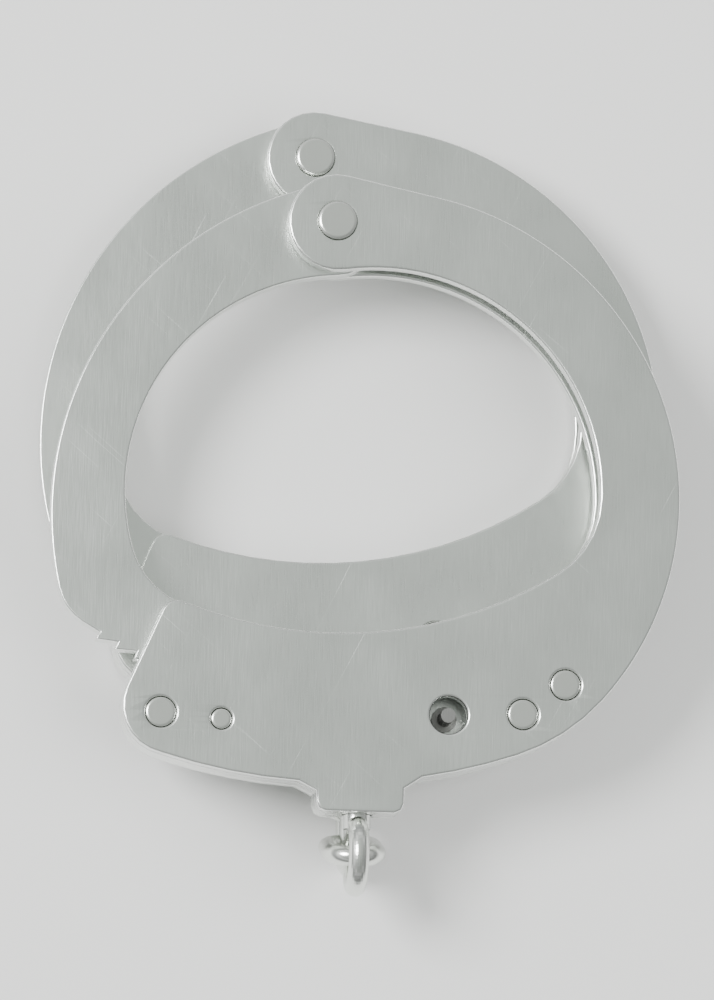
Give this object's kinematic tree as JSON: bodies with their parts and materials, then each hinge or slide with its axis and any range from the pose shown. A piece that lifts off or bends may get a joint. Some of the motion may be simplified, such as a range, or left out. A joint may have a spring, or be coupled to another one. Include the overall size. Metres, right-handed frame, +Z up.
{
  "type": "handcuffs",
  "caption": "Folded pair of chain handcuffs with swing-through ratchet arms, riveted lock cases, pawls, double-lock bars, swivels and oval links.",
  "frame": {"origin": "a spot on the lower cuff's underside, on the flat of its fixed strand, where the pair rests", "axes": "+Z up through the stack towards the upper cuff's keyhole side, +Y from the chain towards the arm pivots, +X towards the fixed strands"},
  "size_m": [0.0946, 0.1195, 0.022],
  "materials": {
    "satin_nickel": "satin nickel plate",
    "lock_steel": "plain hardened steel"
  },
  "bodies": {
    "lower_frame": {"lower_rear_cheek_plate": "satin_nickel", "lower_front_cheek_plate": "satin_nickel", "lower_lock_spacer": "satin_nickel", "lower_arm_pivot_rivet": "satin_nickel", "lower_lock_rivet_mouth": "satin_nickel", "lower_lock_rivet_inner": "satin_nickel", "lower_lock_rivet_end": "satin_nickel", "lower_pawl_pin": "satin_nickel", "lower_key_post": "lock_steel", "lower_pawl_spring": "lock_steel"},
    "lower_arm": {"lower_ratchet_arm": "satin_nickel"},
    "lower_pawl": {"lower_pawl": "lock_steel"},
    "lower_lock_bar": {"lower_double_lock_bar": "lock_steel"},
    "lower_swivel": {"lower_swivel": "satin_nickel"},
    "upper_frame": {"upper_rear_cheek_plate": "satin_nickel", "upper_front_cheek_plate": "satin_nickel", "upper_lock_spacer": "satin_nickel", "upper_arm_pivot_rivet": "satin_nickel", "upper_lock_rivet_mouth": "satin_nickel", "upper_lock_rivet_inner": "satin_nickel", "upper_lock_rivet_end": "satin_nickel", "upper_pawl_pin": "satin_nickel", "upper_key_post": "lock_steel", "upper_pawl_spring": "lock_steel"},
    "upper_arm": {"upper_ratchet_arm": "satin_nickel"},
    "upper_pawl": {"upper_pawl": "lock_steel"},
    "upper_lock_bar": {"upper_double_lock_bar": "lock_steel"},
    "upper_swivel": {"upper_swivel": "satin_nickel"},
    "lower_link": {"lower_chain_link": "satin_nickel"},
    "upper_link": {"upper_chain_link": "satin_nickel"}
  },
  "joints": [
    {"name": "lower_arm_swing", "type": "hinge", "parent": "lower_frame", "child": "lower_arm", "pos_m": [-0.0461, 0.0373, 0.0043], "axis": [0, 0, 1], "continuous": true},
    {"name": "lower_pawl_lift", "type": "hinge", "parent": "lower_frame", "child": "lower_pawl", "pos_m": [-0.06141, -0.03796, 0.0043], "axis": [0, 0, -1], "range_deg": [0, 5], "deforming": ["lower_pawl_spring"]},
    {"name": "lower_double_lock_slide", "type": "slide", "parent": "lower_frame", "child": "lower_lock_bar", "axis": [0.9813, 0.1925, 0], "range_m": [-0.002, 0]},
    {"name": "lower_swivel_turn", "type": "hinge", "parent": "lower_frame", "child": "lower_swivel", "pos_m": [-0.0407, -0.057, 0.0043], "axis": [0, 1, 0], "range_deg": [-8, 8]},
    {"name": "upper_arm_swing", "type": "hinge", "parent": "upper_frame", "child": "upper_arm", "pos_m": [-0.04389, 0.0252, 0.0153], "axis": [0, 0, 1], "continuous": true},
    {"name": "upper_pawl_lift", "type": "hinge", "parent": "upper_frame", "child": "upper_pawl", "pos_m": [-0.06096, -0.04968, 0.0153], "axis": [0, 0, -1], "range_deg": [0, 5], "deforming": ["upper_pawl_spring"]},
    {"name": "upper_double_lock_slide", "type": "slide", "parent": "upper_frame", "child": "upper_lock_bar", "axis": [0.9855, 0.1695, 0], "range_m": [-0.002, 0]},
    {"name": "upper_swivel_turn", "type": "hinge", "parent": "upper_frame", "child": "upper_swivel", "pos_m": [-0.0407, -0.0692, 0.0153], "axis": [0.0234, 0.9997, 0], "range_deg": [-3, 3]},
    {"name": "lower_link_hinge", "type": "hinge", "parent": "lower_frame", "child": "lower_link", "pos_m": [-0.0407, -0.0615, 0.0043], "axis": [1, 0, 0], "range_deg": [0, 60]},
    {"name": "link_to_link_hinge", "type": "hinge", "parent": "lower_link", "child": "upper_link", "pos_m": [-0.0407, -0.06636, 0.0043], "axis": [1, 0, 0], "range_deg": [0, 85]},
    {"name": "upper_cuff_hinge", "type": "hinge", "parent": "upper_link", "child": "upper_frame", "pos_m": [-0.0407, -0.0692, 0.0153], "axis": [1, 0, 0], "range_deg": [0, 170]}
  ]
}
